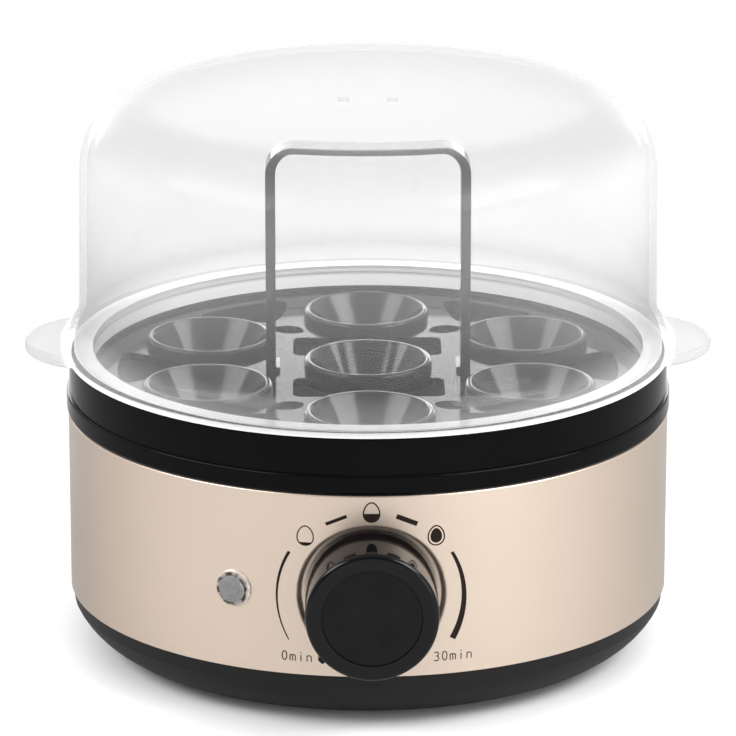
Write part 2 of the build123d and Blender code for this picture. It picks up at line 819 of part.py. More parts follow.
# Knob: a hollow cap on the shaft's flat, with an inlaid disc and a small pointer rib along its side
with BuildPart() as timer_knob:
    with BuildSketch(dial_plane(knob_back)):
        Circle(knob_radius)
    extrude(amount=knob_length)
    fillet(timer_knob.edges().sort_by(Axis.Y)[0], knob_edge_round)
    with BuildSketch(dial_plane(knob_back)):
        with Locations(Location((0, 0, 0), (0, 0, 90 - pointer_angle))):
            with Locations((knob_radius + (pointer_proud - knob_wall / 2) / 2, 0)):
                RectangleRounded(knob_wall / 2 + pointer_proud, pointer_width, pointer_round)
    extrude(amount=knob_length - knob_edge_round)
    with BuildSketch(dial_plane(knob_back)):
        Circle(knob_radius - knob_wall)
        Circle(knob_hub_radius, mode=Mode.SUBTRACT)
    extrude(amount=knob_inner - knob_back, mode=Mode.SUBTRACT)
    with BuildSketch(dial_plane(knob_back)):
        Circle(shaft_radius + running_gap / 2)
        with Locations((0, 2 * shaft_radius - shaft_flat + running_gap)):
            Rectangle(4 * shaft_radius, 2 * shaft_radius, mode=Mode.SUBTRACT)
    extrude(amount=knob_inner - knob_back, mode=Mode.SUBTRACT)
    with BuildSketch(dial_plane(cap_seat)):
        Circle(cap_radius + seat_gap / 2)
    extrude(amount=knob_front - cap_seat, mode=Mode.SUBTRACT)

with BuildPart() as knob_cap:
    with BuildSketch(dial_plane(cap_seat)):
        Circle(cap_radius)
    extrude(amount=cap_thickness)
    chamfer(knob_cap.edges().sort_by(Axis.Y)[0], seat_gap)

# Indicator: bezel through the band, lens, lamp and the push-on retainer behind
with BuildPart() as indicator_bezel:
    with BuildSketch(lamp_plane(seat_gap / 2)):
        Circle(bezel_radius)
    extrude(amount=bezel_proud)
    fillet(indicator_bezel.edges().group_by(lamp_axis)[-1], bezel_proud / 2)
    with BuildSketch(lamp_plane(seat_gap / 2)):
        Circle(bezel_tube_radius)
    extrude(amount=-bezel_length)
    with BuildSketch(lamp_plane(-lens_depth)):
        Circle(bezel_tube_radius - bezel_wall)
    extrude(amount=2 * lens_depth, mode=Mode.SUBTRACT)
    with BuildSketch(lamp_plane(-bezel_length)):
        Circle(lamp_radius + 2 * seat_gap)
    extrude(amount=2 * bezel_length, mode=Mode.SUBTRACT)

lens_radius = bezel_tube_radius - bezel_wall - seat_gap / 2
with BuildPart() as indicator_lens:
    with BuildSketch(lamp_plane(-lens_depth)):
        Circle(lens_radius)
    extrude(amount=lens_depth + bezel_proud + lens_dome)
    fillet(indicator_lens.edges().group_by(lamp_axis)[-1], lens_dome)

with BuildPart() as indicator_lamp:
    with BuildSketch(lamp_plane(-lens_depth - lead_gap)):
        Circle(lamp_radius)
    extrude(amount=-lamp_length)
    fillet(indicator_lamp.edges().group_by(lamp_axis)[-1], lamp_radius / 2)

retainer_sag = retainer_radius**2 / (2 * band_inner_radius)
with BuildPart() as lamp_retainer:
    with BuildSketch(lamp_plane(-band_thickness - retainer_sag - seat_gap / 2)):
        Circle(retainer_radius)
        Circle(bezel_tube_radius + running_gap, mode=Mode.SUBTRACT)
    extrude(amount=-retainer_thickness)

# Terminal block on the shell's floor, with one screw to each pole
block_x, block_y = block_position
pole_places = [(block_x + n * block_pitch, block_y) for n in (-1, 0, 1)]
bore_z = shell_floor_z + block_bore_height
block_top_z = shell_floor_z + block_height
with BuildPart() as terminal_block:
    with BuildSketch(Plane.XY.offset(shell_floor_z)):
        with Locations(block_position):
            RectangleRounded(block_length, block_width, case_wall)
    extrude(amount=block_height)
    with BuildSketch(Plane(origin=(block_x, block_y, bore_z), x_dir=(-1, 0, 0), z_dir=(0, 1, 0))):
        with GridLocations(block_pitch, 0, 3, 1):
            Circle(lead_radius + lead_gap)
    extrude(amount=block_width, both=True, mode=Mode.SUBTRACT)
    with BuildSketch(Plane.XY.offset(block_top_z)):
        with Locations(*pole_places):
            Circle(screw_radius + running_gap)
    extrude(amount=bore_z - block_top_z, mode=Mode.SUBTRACT)

with BuildPart() as terminal_screws:
    with BuildSketch(Plane.XY.offset(block_top_z)):
        with Locations(*pole_places):
            Circle(screw_head_radius)
    extrude(amount=screw_head_height)
    with BuildSketch(Plane.XY.offset(block_top_z)):
        with Locations(*pole_places):
            Circle(screw_radius)
    extrude(amount=bore_z + lead_radius + lead_gap - block_top_z)


def lead(points, radius):
    """A covered wire through a list of points, with each corner an arc as large as its runs allow."""
    runs = [(Vector(*b) - Vector(*a)) for a, b in zip(points, points[1:])]
    radii = []
    for before, after in zip(runs, runs[1:]):
        half_turn = math.radians(before.get_angle(after)) / 2
        radii.append(0.45 * min(before.length, after.length) / math.tan(half_turn))
    with BuildLine() as route:
        FilletPolyline(*points, radius=radii)
    with BuildSketch(Plane(origin=points[0], z_dir=runs[0])) as wire:
        Circle(radius)
    sweep(wire.sketch, path=route.wire())
    print("lead", round(route.wire().length, 1), "mm, least bend radius", round(min(radii), 1), "mm")


# Inner leads, each from one terminal to the next
lead_z = bore_z
tap_x = case_width / 2 + contact_outside + lead_gap
tap_y = -contact_forward
pole_y = block_y - block_width / 2
tab_end_z = tab_top_z - tab_length - lead_gap
sensor_z = thermostat_tab_z - tab_length - lead_gap
fuse_x = fuse_length / 2 + fuse_pin_length + lead_gap
lamp_back = lamp_plane(-lens_depth - lamp_length - 2 * lead_gap)
lamp_in = lamp_plane(-lens_depth - lamp_length - 2 * lead_gap - 6)
line_start = [
    (-tap_x, tap_y, contact_z),
    (-tap_x - 3.5, tap_y, contact_z),
    (-tap_x - 9, tap_y + 12, contact_z - 10),
    (-37, -42, lead_z),
    (-25, -18, lead_z + 0.3),
    (-4, 4, lead_z),
    (18, 20, lead_z + 0.3),
    (block_x, pole_y - 9, lead_z),
    (block_x, pole_y + 4, lead_z),
]
timer_to_sensor = [
    (tap_x, tap_y, contact_z),
    (tap_x + 3.5, tap_y, contact_z),
    (tap_x + 9, tap_y + 12, contact_z - 10),
    (30, -38, lead_z + 1),
    (15, -20, lead_z + 2),
    (thermostat_tab_offset, -7, lead_z + 9),
    (thermostat_tab_offset, 0, sensor_z - 10),
    (thermostat_tab_offset, 0, sensor_z),
]
sensor_to_fuse = [
    (-thermostat_tab_offset, 0, sensor_z),
    (-thermostat_tab_offset, 0, sensor_z - 8),
    (-12, 12, sensor_z - 11),
    (-19, 21, sensor_z + 2),
    (-fuse_x - 8, fuse_offset, fuse_z - 5),
    (-fuse_x - 5, fuse_offset, fuse_z),
    (-fuse_x, fuse_offset, fuse_z),
]
fuse_to_element = [
    (fuse_x, fuse_offset, fuse_z),
    (fuse_x + 6, fuse_offset, fuse_z),
    (fuse_x + 12, fuse_offset - 2, fuse_z - 8),
    (28, 21, tab_end_z + 4),
    (34, 15, tab_end_z - 8),
    (start_leg.X, start_leg.Y, tab_end_z - 8),
    (start_leg.X, start_leg.Y, tab_end_z),
]
element_to_block = [
    (end_leg.X, end_leg.Y, tab_end_z),
    (end_leg.X, end_leg.Y, tab_end_z - 9),
    (end_leg.X + 5, end_leg.Y + 8, lead_z + 2),
    (43, 12, lead_z),
    (block_x + block_pitch, pole_y - 8, lead_z),
    (block_x + block_pitch, pole_y + 4, lead_z),
]
lamp_rise = lamp_radius / 2
lamp_to_timer = [
    (lamp_back.origin.X, lamp_back.origin.Y, lamp_z + lamp_rise),
    (lamp_in.origin.X, lamp_in.origin.Y, lamp_z + lamp_rise),
    (-tap_x + 2, tap_y + 16, contact_z + 4),
    (-tap_x + 2.5, tap_y + 9, contact_z),
    (-tap_x + 2.5, tap_y + contact_thickness / 2 + lead_gap, contact_z),
]
lamp_to_block = [
    (lamp_back.origin.X, lamp_back.origin.Y, lamp_z - lamp_rise),
    (lamp_in.origin.X, lamp_in.origin.Y, lamp_z - lamp_rise),
    (-36, -44, contact_z - 8),
    (-52, -24, lead_z + 3),
    (-52, 0, lead_z),
    (-36, 26, lead_z - 0.5),
    (-12, 33, lead_z),
    (block_x - block_pitch - 4, pole_y - 7, lead_z),
    (block_x - block_pitch, pole_y - 4, lead_z),
    (block_x - block_pitch, pole_y + 4, lead_z),
]
with BuildPart() as inner_leads:
    for points in (line_start, timer_to_sensor, sensor_to_fuse, fuse_to_element, element_to_block):
        lead(points, lead_radius)
    for points in (lamp_to_timer, lamp_to_block):
        lead(points, lamp_lead_radius)


def petal(azimuth):
    """A steam opening near the tray's edge: a rounded triangle with its tip towards the middle."""
    corner_x = petal_outer_radius * math.cos(math.radians(petal_half_angle))
    corner_y = petal_outer_radius * math.sin(math.radians(petal_half_angle))
    tip = (petal_inner_radius, 0)
    with Locations(Location((0, 0, 0), (0, 0, azimuth))):
        with BuildSketch(mode=Mode.PRIVATE) as shape:
            with BuildLine():
                low, high = (corner_x, -corner_y), (corner_x, corner_y)
                ThreePointArc(tip, bulged(tip, low, petal_bulge), low)
                ThreePointArc(low, (petal_outer_radius, 0), high)
                ThreePointArc(high, bulged(high, tip, petal_bulge), tip)
            make_face()
            fillet(shape.vertices(), slot_round)
        add(shape.sketch)


def leaf(x, y, tilt):
    """A pointed oval opening between an end cup and a side cup."""
    with Locations(Location((x, y, 0), (0, 0, tilt))):
        with BuildSketch(mode=Mode.PRIVATE) as shape:
            with BuildLine():
                ends = (-leaf_length / 2, 0), (leaf_length / 2, 0)
                ThreePointArc(ends[0], (0, -leaf_width / 2), ends[1])
                ThreePointArc(ends[1], (0, leaf_width / 2), ends[0])
            make_face()
        add(shape.sketch)


# Egg tray: outer ring and well, whose plate has seats for the cups and the steam openings
locator_z = collar_top_z - tray_locator
side_azimuth = math.degrees(math.atan2((cup_row + cup_side_y) / 2, cup_side_x / 2))
petal_azimuths = [0, 180, side_azimuth, -side_azimuth, 180 - side_azimuth, side_azimuth - 180]
handle_x = handle_span / 2
with BuildPart() as egg_tray:
    with BuildSketch(section):
        Polygon(
            (0, plate_z - tray_plate),
            (well_radius, plate_z - tray_plate),
            (well_radius, locator_z),
            (well_radius + tray_wall, locator_z),
            (well_radius + tray_wall, rim_z - tray_wall),
            (tray_radius - tray_wall, rim_z - tray_wall),
            (tray_radius - tray_wall, collar_top_z),
            (tray_radius, collar_top_z),
            (tray_radius, rim_z),
            (well_radius, rim_z),
            (well_radius, plate_z),
            (0, plate_z),
        )
    revolve(axis=Axis.Z)
    fillet(egg_tray.edges().group_by(Axis.Z)[-1].sort_by(SortBy.LENGTH)[-1], tray_edge_round)
    corner = egg_tray.edges().filter_by_position(Axis.Z, plate_z - 0.01, plate_z + 0.01)
    fillet(corner.sort_by(SortBy.LENGTH)[-1], well_round)
    with BuildSketch(Plane.XY.offset(plate_z)):
        for azimuth in petal_azimuths:
            petal(azimuth)
        with Locations(*cup_places):
            Circle(cup_collar_radius + petal_web, mode=Mode.SUBTRACT)
    extrude(amount=-tray_plate, mode=Mode.SUBTRACT)
    with BuildSketch(Plane.XY.offset(plate_z)):
        slot_x = (slot_outer_x + slot_inner_x) / 2
        slot_y = (slot_near_y + slot_far_y) / 2
        with Locations((-slot_x, -slot_y), (slot_x, -slot_y), (-slot_x, slot_y), (slot_x, slot_y)):
            RectangleRounded(slot_outer_x - slot_inner_x, slot_far_y - slot_near_y, slot_round)
        with Locations(*cup_places):
            Circle(cup_collar_radius + slot_web, mode=Mode.SUBTRACT)
    extrude(amount=-tray_plate, mode=Mode.SUBTRACT)
    with BuildSketch(Plane.XY.offset(plate_z)):
        leaf(leaf_x, leaf_y, leaf_tilt)
        leaf(-leaf_x, leaf_y, -leaf_tilt)
        leaf(leaf_x, -leaf_y, -leaf_tilt)
        leaf(-leaf_x, -leaf_y, leaf_tilt)
    extrude(amount=-tray_plate, mode=Mode.SUBTRACT)
    with BuildSketch(Plane.XY.offset(plate_z)):
        with Locations((-handle_x, 0), (handle_x, 0)):
            Rectangle(
                handle_tab + 2 * handle_tab_gap,
                handle_depth - 2 * handle_tab_margin + 2 * handle_tab_gap,
            )
    extrude(amount=-tray_plate, mode=Mode.SUBTRACT)
    with BuildSketch(Plane.XY.offset(plate_z)):
        with Locations(*cup_places):
            Circle(cup_collar_radius + cup_seat_gap)
    extrude(amount=-tray_plate, mode=Mode.SUBTRACT)

# Egg cups: seven funnels through the plate, each with a flange under it
funnel_z = cup_top_z - cup_funnel_depth
plate_under_z = plate_z - tray_plate
flange_under_z = plate_under_z - cup_flange_thickness
cup_slope = (cup_rim_radius - cup_funnel_radius) / cup_funnel_depth
cup_neck_radius = cup_funnel_radius + cup_wall + cup_slope * (flange_under_z - funnel_z)
with BuildPart() as egg_cup:
    with BuildSketch(section):
        Polygon(
            (cup_funnel_radius, funnel_z),
            (cup_funnel_radius + cup_wall, funnel_z),
            (cup_neck_radius, flange_under_z),
            (cup_collar_radius + cup_flange, flange_under_z),
            (cup_collar_radius + cup_flange, plate_under_z),
            (cup_collar_radius, plate_under_z),
            (cup_collar_radius, cup_top_z),
            (cup_rim_radius, cup_top_z),
        )
    revolve(axis=Axis.Z)
    fillet(egg_cup.edges().group_by(Axis.Z)[-1].sort_by(SortBy.LENGTH)[0], cup_edge_round)
    fillet(egg_cup.edges().group_by(Axis.Z)[-1].sort_by(SortBy.LENGTH)[-1], cup_rim_round)
with BuildPart() as egg_cups:
    with Locations(*cup_places):
        add(egg_cup.part)

# Tray handle: an upright strap, its shoulders on the plate and its barbed tabs through it
handle_top_z = rim_z + handle_top
leg_out = handle_x + handle_leg / 2
leg_in = handle_x - handle_leg / 2
bar_end = leg_out - handle_corner
bar_inner_end = bar_end
corner_z = handle_top_z - handle_corner
inner_corner = handle_corner - handle_leg
with BuildPart() as tray_handle:
    with BuildSketch(section):
        with BuildLine():
            Line((-leg_out, plate_z), (-leg_out, corner_z))
            TangentArc((-leg_out, corner_z), (-bar_end, handle_top_z), tangent=(0, 1))
            ThreePointArc((-bar_end, handle_top_z), (0, handle_top_z - handle_dip), (bar_end, handle_top_z))
            TangentArc((bar_end, handle_top_z), (leg_out, corner_z), tangent=(1, 0))
            Polyline((leg_out, corner_z), (leg_out, plate_z), (leg_in, plate_z), (leg_in, corner_z))
            EllipticalCenterArc(
                (bar_end, corner_z), inner_corner, handle_corner - handle_bar, start_angle=0, arc_size=90
            )
            ThreePointArc(
                (bar_end, handle_top_z - handle_bar),
                (0, handle_top_z - handle_bar - handle_dip),
                (-bar_end, handle_top_z - handle_bar),
            )
            EllipticalCenterArc(
                (-bar_end, corner_z), inner_corner, handle_corner - handle_bar, start_angle=90, arc_size=90
            )
            Polyline((-leg_in, corner_z), (-leg_in, plate_z), (-leg_out, plate_z))
        make_face()
    extrude(amount=handle_depth / 2, both=True)
    long_edges = tray_handle.edges().filter_by_position(Axis.Z, plate_z + 1, handle_top_z, (False, True))
    rounded = long_edges.filter_by(lambda e: abs(abs(e.center().Y) - handle_depth / 2) < 0.01)
    fillet(rounded, handle_round)
    with BuildSketch(Plane.XY.offset(plate_z)):
        foot_x = (leg_out + leg_in - handle_foot) / 2
        with Locations((-foot_x, 0), (foot_x, 0)):
            Rectangle(handle_leg + handle_foot, handle_depth)
    extrude(amount=handle_foot_height)
    tab_bottom_z = plate_z - tray_plate - handle_tab_gap - handle_barb_height
    with BuildSketch(Plane.XY.offset(plate_z)):
        with Locations((-handle_x, 0), (handle_x, 0)):
            Rectangle(handle_tab, handle_depth - 2 * handle_tab_margin)
    extrude(amount=tab_bottom_z - plate_z)
    with BuildSketch(Plane.XZ):
        barb_top_z = plate_z - tray_plate - handle_tab_gap
        for side in (-1, 1):
            face_x = side * (handle_x + handle_tab / 2)
            with BuildLine():
                Polyline(
                    (face_x, barb_top_z),
                    (face_x + side * handle_barb, barb_top_z),
                    (face_x, tab_bottom_z),
                    close=True,
                )
            make_face()
    extrude(amount=handle_depth / 2 - handle_tab_margin, both=True)

# Lid: one clear moulding with a flared rim, a web with a locating lip, two side lugs and steam holes
rim_radius = tray_radius + lid_proud
band_end_z = rim_z + lid_band
flare_end_z = band_end_z + lid_flare_height
wall_radius = band_radius - lid_waist
top_radius = wall_radius - lid_draft
shoulder_z = lid_top_z - lid_shoulder
lip_radius = well_radius - lift_gap
inner_shoulder = lid_shoulder - lid_wall
diagonal = math.sqrt(0.5)


def flare_points(inset):
    """Start, middle and end of the rim's double bend, moved in by a wall's thickness."""
    start = (rim_radius - inset, band_end_z)
    end = (wall_radius - inset, flare_end_z)
    return start, ((start[0] + end[0]) / 2, (start[1] + end[1]) / 2), end


with BuildPart() as lid:
    with BuildSketch(section):
        with BuildLine():
            start, middle, end = flare_points(0)
            centre_x = top_radius - lid_shoulder
            Line((rim_radius, rim_z), start)
            lower_bend = TangentArc(start, middle, tangent=(0, 1))
            TangentArc(middle, end, tangent=lower_bend % 1)
            Line(end, (top_radius, shoulder_z))
            ThreePointArc(
                (top_radius, shoulder_z),
                (centre_x + lid_shoulder * diagonal, shoulder_z + lid_shoulder * diagonal),
                (centre_x, lid_top_z),
            )
            Polyline((centre_x, lid_top_z), (0, lid_top_z), (0, lid_top_z - lid_wall), (centre_x, lid_top_z - lid_wall))
            ThreePointArc(
                (centre_x, lid_top_z - lid_wall),
                (centre_x + inner_shoulder * diagonal, shoulder_z + inner_shoulder * diagonal),
                (centre_x + inner_shoulder, shoulder_z),
            )
            start, middle, end = flare_points(lid_wall)
            Line((centre_x + inner_shoulder, shoulder_z), end)
            upper_bend = TangentArc(end, middle, tangent=(0, -1))
            TangentArc(middle, start, tangent=upper_bend % 1)
            Polyline(start, (rim_radius - lid_wall, rim_z), (rim_radius, rim_z))
        make_face()
    revolve(axis=Axis.Z)
    with BuildSketch(section):
        Polygon(
            (lip_radius - lid_lip_wall, rim_z - lid_lip_depth),
            (lip_radius, rim_z - lid_lip_depth),
            (lip_radius, rim_z),
            (rim_radius - lid_wall / 2, rim_z),
            (rim_radius - lid_wall / 2, band_end_z),
            (lip_radius - lid_lip_wall, band_end_z),
        )
    revolve(axis=Axis.Z)
    with BuildSketch(Plane.XY.offset(rim_z)):
        for side in (-1, 1):
            with Locations((side * (rim_radius + lug_reach - lug_root), 0)):
                Ellipse(lug_root, lug_width / 2)
        Circle(rim_radius - lid_wall / 2, mode=Mode.SUBTRACT)
    extrude(amount=lug_thickness)
    lug_edges = lid.edges().filter_by_position(Axis.X, rim_radius, rim_radius + lug_reach + 1)
    far_edges = lid.edges().filter_by_position(Axis.X, -rim_radius - lug_reach - 1, -rim_radius)
    fillet(lug_edges + far_edges, lug_round)
    with BuildSketch(Plane.XY.offset(lid_top_z)):
        with Locations((-steam_hole_spacing / 2, 0), (steam_hole_spacing / 2, 0)):
            Circle(steam_hole_radius)
    extrude(amount=-2 * lid_wall, mode=Mode.SUBTRACT)

pieces = {
    "lid": lid,
    "egg_tray": egg_tray,
    "egg_cups": egg_cups,
    "tray_handle": tray_handle,
    "housing_collar": housing_collar,
    "housing_band": housing_band,
    "base_shell": base_shell,
    "foot_ring": foot_ring,
    "tie_screws": tie_screws,
    "cord_gland": cord_gland,
    "heating_pan": heating_pan,
    "pan_gasket": pan_gasket,
    "pan_standoffs": pan_standoffs,
    "heating_element": heating_element,
    "element_clips": element_clips,
    "element_insulators": element_insulators,
    "element_tabs": element_tabs,
    "thermostat": thermostat,
    "thermostat_bracket": thermostat_bracket,
    "bracket_nuts": bracket_nuts,
    "thermal_fuse": thermal_fuse,
    "fuse_clip": fuse_clip,
    "timer_knob": timer_knob,
    "knob_cap": knob_cap,
    "timer_shaft": timer_shaft,
    "shaft_bush": shaft_bush,
    "timer_plate": timer_plate,
    "timer_case": timer_case,
    "timer_cam": timer_cam,
    "spring_barrel": spring_barrel,
    "timer_contacts": timer_contacts,
    "timer_bell": timer_bell,
    "bell_screw": bell_screw,
    "timer_screws": timer_screws,
    "indicator_bezel": indicator_bezel,
    "indicator_lens": indicator_lens,
    "indicator_lamp": indicator_lamp,
    "lamp_retainer": lamp_retainer,
    "terminal_block": terminal_block,
    "terminal_screws": terminal_screws,
    "inner_leads": inner_leads,
}
for name, piece in pieces.items():
    piece.part.label = name
    export_step(piece.part, f"parts/{name}.step")
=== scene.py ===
# %% [markdown]
# # An electric egg cooker, dressed in Blender
# The object is a round cooker: a black base with a metal band, a black egg tray and a clear lid.
# Its solid parts come from CAD as a fixed frame, so this script never moves them. It gives each
# one a finish, and adds the thin printed and moulded details that a solid model leaves out.

# %% Load the frame
import math

import bpy
import numpy as np
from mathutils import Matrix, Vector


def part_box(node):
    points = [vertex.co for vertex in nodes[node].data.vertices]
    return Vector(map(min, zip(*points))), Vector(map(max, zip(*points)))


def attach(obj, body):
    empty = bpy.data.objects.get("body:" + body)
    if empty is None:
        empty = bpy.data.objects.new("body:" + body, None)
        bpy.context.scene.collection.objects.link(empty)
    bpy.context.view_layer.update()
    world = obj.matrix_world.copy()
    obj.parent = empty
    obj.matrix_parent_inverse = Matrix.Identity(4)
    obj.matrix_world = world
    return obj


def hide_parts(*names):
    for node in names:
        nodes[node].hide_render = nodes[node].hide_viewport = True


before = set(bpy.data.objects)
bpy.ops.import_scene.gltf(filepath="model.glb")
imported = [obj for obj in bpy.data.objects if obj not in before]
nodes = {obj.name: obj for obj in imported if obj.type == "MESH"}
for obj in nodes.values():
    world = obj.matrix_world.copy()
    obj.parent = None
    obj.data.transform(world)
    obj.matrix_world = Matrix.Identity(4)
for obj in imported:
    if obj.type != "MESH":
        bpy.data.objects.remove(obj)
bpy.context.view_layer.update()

# %% [markdown]
# Every length below is in metres. The few sizes that the details need are read from the CAD parts,
# so that a print lies on the band and a lens in its bezel even if the parts change.

# %% Sizes read from the parts
MM = 0.001
knob_low, knob_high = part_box("timer_knob")
_, band_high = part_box("housing_band")
lamp_low, lamp_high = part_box("indicator_bezel")
lid_low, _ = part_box("lid")
band_radius = band_high.x
dial_height = (knob_low.z + knob_high.z) / 2
print("band radius", round(band_radius, 4), "dial height", round(dial_height, 4))

# %% [markdown]
# A finish is a small graph of shader nodes. Two helpers keep the graphs readable. `Number` stands
# for a number that changes over the surface, and adding or multiplying it adds Math nodes.
# `Finish` holds one material, and its `node` method makes every other kind of node. Both use
# `add_node`, which the world's graph uses as well.


# %% Adding a node
def add_node(tree, kind, settings, inputs):
    """Add a node to a graph: first its settings, then the values or links of its sockets."""
    made = tree.nodes.new(kind)
    for name, value in settings.items():
        setattr(made, name, value)
    for key, value in inputs.items():
        value = value.socket if isinstance(value, Number) else value
        if isinstance(value, bpy.types.NodeSocket):
            tree.links.new(value, made.inputs[key])
        else:
            made.inputs[key].default_value = value
    return made


# %% A number that changes over a surface
class Number:
    """A value that a node puts out. Arithmetic on it adds Math nodes to the same finish."""

    def __init__(self, finish, socket):
        self.finish = finish
        self.socket = socket

    def math(self, operation, *values):
        node = self.finish.node("ShaderNodeMath", {"operation": operation}, dict(enumerate(values)))
        return Number(self.finish, node.outputs[0])

    def __add__(self, other):
        return self.math("ADD", self, other)

    def __radd__(self, other):
        return self.math("ADD", other, self)

    def __sub__(self, other):
        return self.math("SUBTRACT", self, other)

    def __rsub__(self, other):
        return self.math("SUBTRACT", other, self)

    def __mul__(self, other):
        return self.math("MULTIPLY", self, other)

    def __rmul__(self, other):
        return self.math("MULTIPLY", other, self)

    def __truediv__(self, other):
        return self.math("DIVIDE", self, other)

    def __pow__(self, other):
        return self.math("POWER", self, other)

    def sin(self):
        return self.math("SINE", self)

    def smooth(self, low, high):
        """0 below low, 1 above high, and an eased step between them."""
        settings = {"interpolation_type": "SMOOTHSTEP"}
        inputs = {"Value": self, "From Min": low, "From Max": high}
        node = self.finish.node("ShaderNodeMapRange", settings, inputs)
        return Number(self.finish, node.outputs[0])


# %% A finish, which is one material
class Finish:
    """One material: texture nodes on the piece's own coordinates that feed a Principled shader."""

    def __init__(self, name):
        self.material = bpy.data.materials.new(name)
        self.material.use_nodes = True
        self.tree = self.material.node_tree
        self.tree.nodes.clear()
        self.place = self.node("ShaderNodeTexCoord").outputs["Object"]

    def node(self, kind, settings=None, inputs=None):
        """Add a node to this finish."""
        return add_node(self.tree, kind, settings or {}, inputs or {})

    def moved(self, location=(0, 0, 0), rotation=(0, 0, 0), scale=(1, 1, 1)):
        """The piece's coordinates, shifted, turned and stretched by a Mapping node."""
        inputs = {"Vector": self.place, "Location": location, "Rotation": rotation, "Scale": scale}
        return self.node("ShaderNodeMapping", {}, inputs).outputs[0]

    def noise(self, scale, detail=2.0, vector=None):
        """Soft random values from 0 to 1. A scale of 1000 gives specks about a millimetre apart."""
        inputs = {"Vector": vector or self.place, "Scale": scale, "Detail": detail}
        return Number(self, self.node("ShaderNodeTexNoise", {}, inputs).outputs[0])

    def axes(self, vector=None):
        """The coordinates as three numbers."""
        split = self.node("ShaderNodeSeparateXYZ", {}, {"Vector": vector or self.place})
        return [Number(self, socket) for socket in split.outputs]

    def facing(self, blend):
        """Close to 0 where the surface faces the eye and close to 1 at its outline."""
        node = self.node("ShaderNodeLayerWeight", {}, {"Blend": blend})
        return Number(self, node.outputs["Facing"])

    def mix(self, first, second, factor):
        """Blend two colours."""
        inputs = {0: factor, 6: (*first, 1), 7: (*second, 1)}
        return self.node("ShaderNodeMix", {"data_type": "RGBA"}, inputs).outputs[2]

    def bump(self, height, distance, strength=1.0):
        """Small relief. The distance is the height of a full step, in metres."""
        inputs = {"Height": height, "Distance": distance, "Strength": strength}
        return self.node("ShaderNodeBump", {}, inputs).outputs[0]

    def surface(self, inputs):
        """Finish the graph with a Principled shader on the output."""
        shader = self.node("ShaderNodeBsdfPrincipled", {}, inputs)
        self.node("ShaderNodeOutputMaterial", {}, {"Surface": shader.outputs[0]})
        return self.material


# %% [markdown]
# The cooker's black mouldings come in two finishes. The tray, its handle, the collar and the knob
# are glossy: the plate mirrors the cups, the handle's bar mirrors the pale room, and the knob's
# side mirrors the dial's marks. The base is satin. On both, slow noise varies the gloss a little,
# as flow in the mould does, and fine noise gives grain.


# %% Glossy black plastic
def glossy_black(name, gloss=0.07, index=1.17):
    black = Finish(name)
    flow = black.noise(22, 3)
    skin = black.noise(900, 2)
    dust = black.noise(5200, 1).smooth(0.66, 0.78)
    return black.surface({
        "Base Color": black.mix((0.0010, 0.0010, 0.0013), (0.003, 0.003, 0.0035), flow),
        "Roughness": gloss + 0.05 * flow + 0.04 * dust,
        "IOR": index,
        "Normal": black.bump(skin, 0.0005 * MM),
    })


# %% Satin black plastic
def satin_black(name, tone=0.017, rough=0.30, index=1.27):
    black = Finish(name)
    flow = black.noise(35, 3)
    grain = black.noise(4200, 3)
    return black.surface({
        "Base Color": black.mix((tone * 0.8,) * 3, (tone * 1.25,) * 3, flow),
        "Roughness": rough + 0.08 * flow + 0.06 * grain,
        "IOR": index,
        "Normal": black.bump(grain, 0.006 * MM),
    })


black_gloss = glossy_black("black_gloss")
cup_gloss = glossy_black("cup_gloss", 0.12, 1.52)
bright_gloss = glossy_black("bright_gloss", 0.05, 1.36)
black_satin = satin_black("black_satin", 0.010, 0.34)

# %% [markdown]
# The knob's inlaid disc is turned metal, anodised black. Fine rings run round its centre, so the
# pattern is a sine of the distance from the dial's axis, and the gloss follows the rings.


# %% Turned black disc
def turned_disc(groove=0.34 * MM):
    disc = Finish("turned_black_disc")
    x, _, z = disc.axes(disc.moved((0, 0, -dial_height)))
    radius = (x * x + z * z) ** 0.5
    rings = (radius * (2 * math.pi / groove)).sin()
    haze = disc.noise(160, 3)
    return disc.surface({
        "Base Color": disc.mix((0.003, 0.003, 0.0033), (0.007, 0.007, 0.0073), haze),
        "IOR": 1.25,
        "Roughness": 0.30 + 0.05 * rings + 0.06 * haze,
        "Normal": disc.bump(rings, 0.0016 * MM),
    })


disc_black = turned_disc()

# %% [markdown]
# The band is a rolled sheet with a pale rose gold metallic paint. Such paint holds fine flakes
# under a clear coat, so the colour sparkles at a tenth of a millimetre and stays smooth from afar.
# A cell pattern stands for the flakes, and changes the tone and gloss from the middle of each to
# its edge. The colour also goes from its light end to its dark end as the surface turns from the
# eye: partly the flakes, which show less of their faces at a slant, and partly painted shade that
# darkens the band towards its left and right outline.


# %% Rose gold metallic paint
def rose_gold():
    paint = Finish("rose_gold_paint")
    cells = paint.node("ShaderNodeTexVoronoi", {}, {"Vector": paint.place, "Scale": 7000})
    flakes = Number(paint, cells.outputs[0])
    cloud = paint.noise(14, 3)
    grain = paint.noise(2600, 2)
    tone = 0.5 * cloud + 0.3 * flakes + 0.2 * grain
    # Partly the flakes' flop and partly painted shade: the facing term darkens the colour towards
    # the band's outline.
    light = 0.66 + 0.34 * tone - 0.90 * paint.facing(0.5)
    return paint.surface({
        "Base Color": paint.mix((0.615, 0.508, 0.422), (0.885, 0.735, 0.612), light),
        "Metallic": 0.85,
        "Roughness": 0.29 + 0.05 * flakes + 0.04 * cloud,
        "Coat Weight": 0.35,
        "Coat Roughness": 0.22,
        "Normal": paint.bump(grain, 0.0022 * MM),
    })


band_paint = rose_gold()
